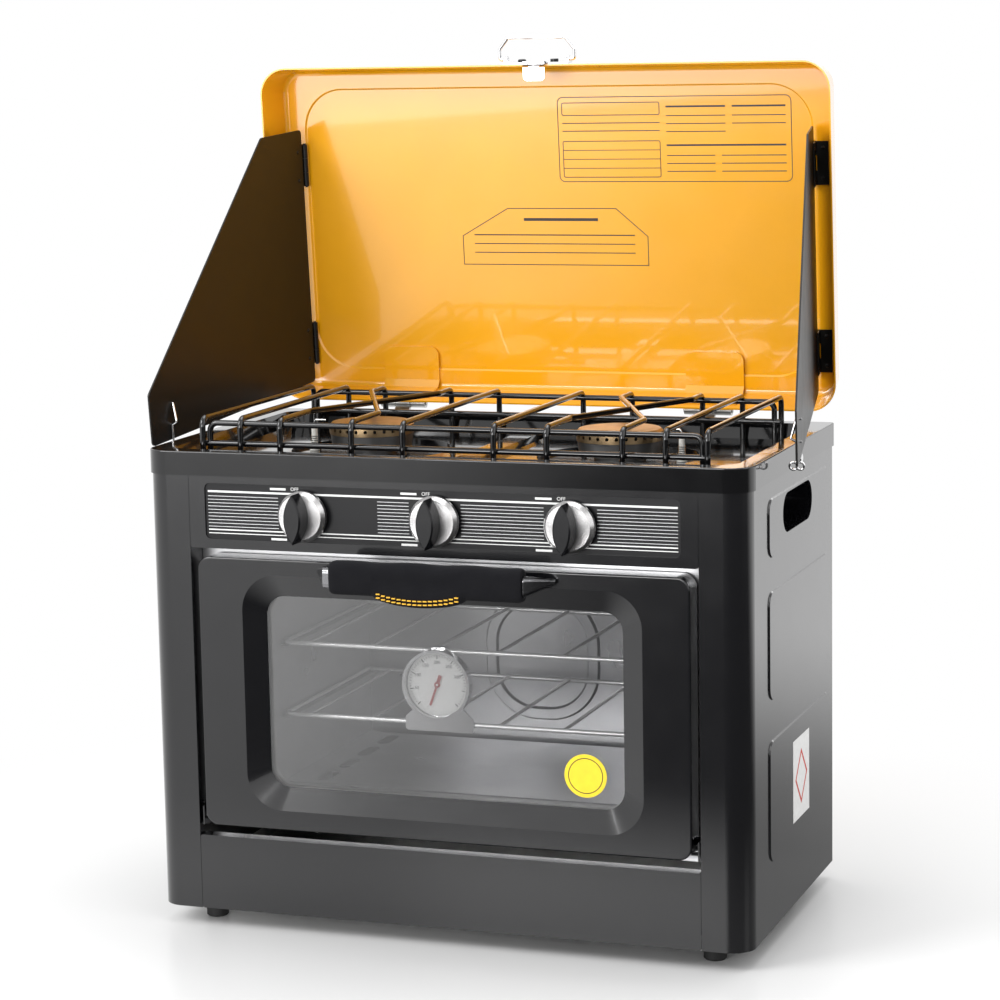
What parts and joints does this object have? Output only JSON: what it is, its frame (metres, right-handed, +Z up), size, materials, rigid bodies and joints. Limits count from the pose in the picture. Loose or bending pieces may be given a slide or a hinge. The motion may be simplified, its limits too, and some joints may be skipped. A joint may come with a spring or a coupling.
{
  "type": "camp oven with stove",
  "caption": "Tabletop gas camp oven with a two-burner cooktop, glass drop-down door, lifting lid and folding wind shields.",
  "frame": {"origin": "on the floor plane under the middle of the cabinet", "axes": "+X to the viewer's right, +Y from the oven door to the back, +Z up"},
  "size_m": [0.5692, 0.3684, 0.7446],
  "materials": {
    "black_shell": "semi-gloss",
    "orange_lid": "gloss",
    "plain_steel": "satin",
    "oven_steel": "bright",
    "black_steel": "semi-gloss",
    "grate_enamel": "gloss enamel",
    "rack_wire": "polished",
    "chrome": "polished",
    "brass": "satin",
    "aluminium": "cast",
    "knob_metal": "turned",
    "knob_black": "matte",
    "label": "printed",
    "dial_white": "printed",
    "pointer_red": "satin",
    "glass": "clear",
    "lens": "clear",
    "seal": "matte",
    "rubber": "matte",
    "grip_fabric": "woven",
    "ceramic": "glazed ceramic"
  },
  "bodies": {
    "cabinet": {"side_panel_left": "black_shell", "side_panel_right": "black_shell", "back_panel": "plain_steel", "base_pan": "plain_steel", "feet": "rubber", "screws": "chrome", "lower_front_panel": "black_shell", "control_fascia": "black_shell", "label_plate": "label", "grip_cups": "black_shell", "cooktop": "black_shell", "burner_bodies": "aluminium", "burner_caps": "brass", "igniters": "ceramic", "spark_wires": "knob_metal", "mixing_tubes": "aluminium", "gas_valves": "brass", "gas_pipes": "aluminium", "gas_inlet": "brass", "oven_liner": "oven_steel", "oven_floor": "plain_steel", "oven_burner": "aluminium", "oven_rack_lower": "rack_wire", "oven_rack_upper": "rack_wire", "thermometer_case": "plain_steel", "thermometer_dial": "dial_white", "thermometer_lens": "lens", "door_hinge_ears": "plain_steel", "cabinet_hinge_leaves": "black_shell"},
    "pointer": {"thermometer_pointer": "pointer_red"},
    "grate": {"cooking_grate": "grate_enamel"},
    "door": {"door_panel": "black_shell", "door_glass": "glass", "door_inner_frame": "plain_steel", "door_seal": "seal", "handle_bar": "chrome", "handle_grip": "grip_fabric"},
    "lid": {"lid_shell": "orange_lid", "lid_stiffeners": "orange_lid", "lid_hinge_leaves": "orange_lid", "shield_lid_leaves": "black_steel", "bail_bracket": "chrome", "lid_screws": "black_steel"},
    "shield_left": {"wind_shield_left": "black_steel", "shield_leaves_left": "black_steel"},
    "shield_right": {"wind_shield_right": "black_steel", "shield_leaves_right": "black_steel"},
    "clip_left": {"clip_left": "chrome"},
    "clip_right": {"clip_right": "chrome"},
    "bail": {"bail": "chrome"},
    "latch": {"latch_plate": "chrome"},
    "plug_left": {"valve_plug_left": "brass"},
    "knob_left": {"knob_skirt_left": "knob_metal", "knob_grip_left": "knob_black"},
    "plug_centre": {"valve_plug_centre": "brass"},
    "knob_centre": {"knob_skirt_centre": "knob_metal", "knob_grip_centre": "knob_black"},
    "plug_right": {"valve_plug_right": "brass"},
    "knob_right": {"knob_skirt_right": "knob_metal", "knob_grip_right": "knob_black"}
  },
  "joints": [
    {"name": "door_hinge", "type": "hinge", "parent": "cabinet", "child": "door", "pos_m": [0, -0.137, 0.096], "axis": [1, 0, 0], "range_deg": [0, 90]},
    {"name": "lid_hinge", "type": "hinge", "parent": "cabinet", "child": "lid", "pos_m": [0, 0.15824, 0.41419], "axis": [-1, 0, 0], "range_deg": [0, 15]},
    {"name": "grate_lift", "type": "slide", "parent": "cabinet", "child": "grate", "axis": [0, 0, 1], "range_m": [0, 0.06]},
    {"name": "pointer_turn", "type": "hinge", "parent": "cabinet", "child": "pointer", "pos_m": [-0.023, -0.09, 0.209], "axis": [0, 1, 0], "range_deg": [0, 290]},
    {"name": "bail_swing", "type": "hinge", "parent": "lid", "child": "bail", "pos_m": [0, 0.12785, 0.72413], "axis": [1, 0, 0], "range_deg": [-80, 80]},
    {"name": "latch_swing", "type": "hinge", "parent": "lid", "child": "latch", "pos_m": [0, 0.11762, 0.72041], "axis": [-1, 0, 0], "range_deg": [0, 90]},
    {"name": "knob_turn_left", "type": "hinge", "parent": "cabinet", "child": "plug_left", "pos_m": [-0.1155, -0.13, 0.3575], "axis": [0, -1, 0], "range_deg": [0, 180]},
    {"name": "knob_push_left", "type": "slide", "parent": "plug_left", "child": "knob_left", "axis": [0, 1, 0], "range_m": [0, 0.003], "stiffness_N_per_m": 800},
    {"name": "knob_turn_centre", "type": "hinge", "parent": "cabinet", "child": "plug_centre", "pos_m": [0, -0.13, 0.3575], "axis": [0, -1, 0], "range_deg": [0, 180]},
    {"name": "knob_push_centre", "type": "slide", "parent": "plug_centre", "child": "knob_centre", "axis": [0, 1, 0], "range_m": [0, 0.003], "stiffness_N_per_m": 800},
    {"name": "knob_turn_right", "type": "hinge", "parent": "cabinet", "child": "plug_right", "pos_m": [0.1155, -0.13, 0.3575], "axis": [0, -1, 0], "range_deg": [0, 180]},
    {"name": "knob_push_right", "type": "slide", "parent": "plug_right", "child": "knob_right", "axis": [0, 1, 0], "range_m": [0, 0.003], "stiffness_N_per_m": 800},
    {"name": "shield_swing_left", "type": "hinge", "parent": "lid", "child": "shield_left", "pos_m": [-0.2384, 0.17162, 0.51919], "axis": [0, 0.0797, -0.9968], "range_deg": [-1, 14]},
    {"name": "clip_pull_left", "type": "slide", "parent": "shield_left", "child": "clip_left", "axis": [0.9858, -0.1674, -0.0134], "range_m": [0, 0.0035]},
    {"name": "shield_swing_right", "type": "hinge", "parent": "lid", "child": "shield_right", "pos_m": [0.2384, 0.17162, 0.51919], "axis": [0, -0.0797, 0.9968], "range_deg": [-1, 14]},
    {"name": "clip_pull_right", "type": "slide", "parent": "shield_right", "child": "clip_right", "axis": [-0.9858, -0.1674, -0.0134], "range_m": [0, 0.0035]}
  ]
}
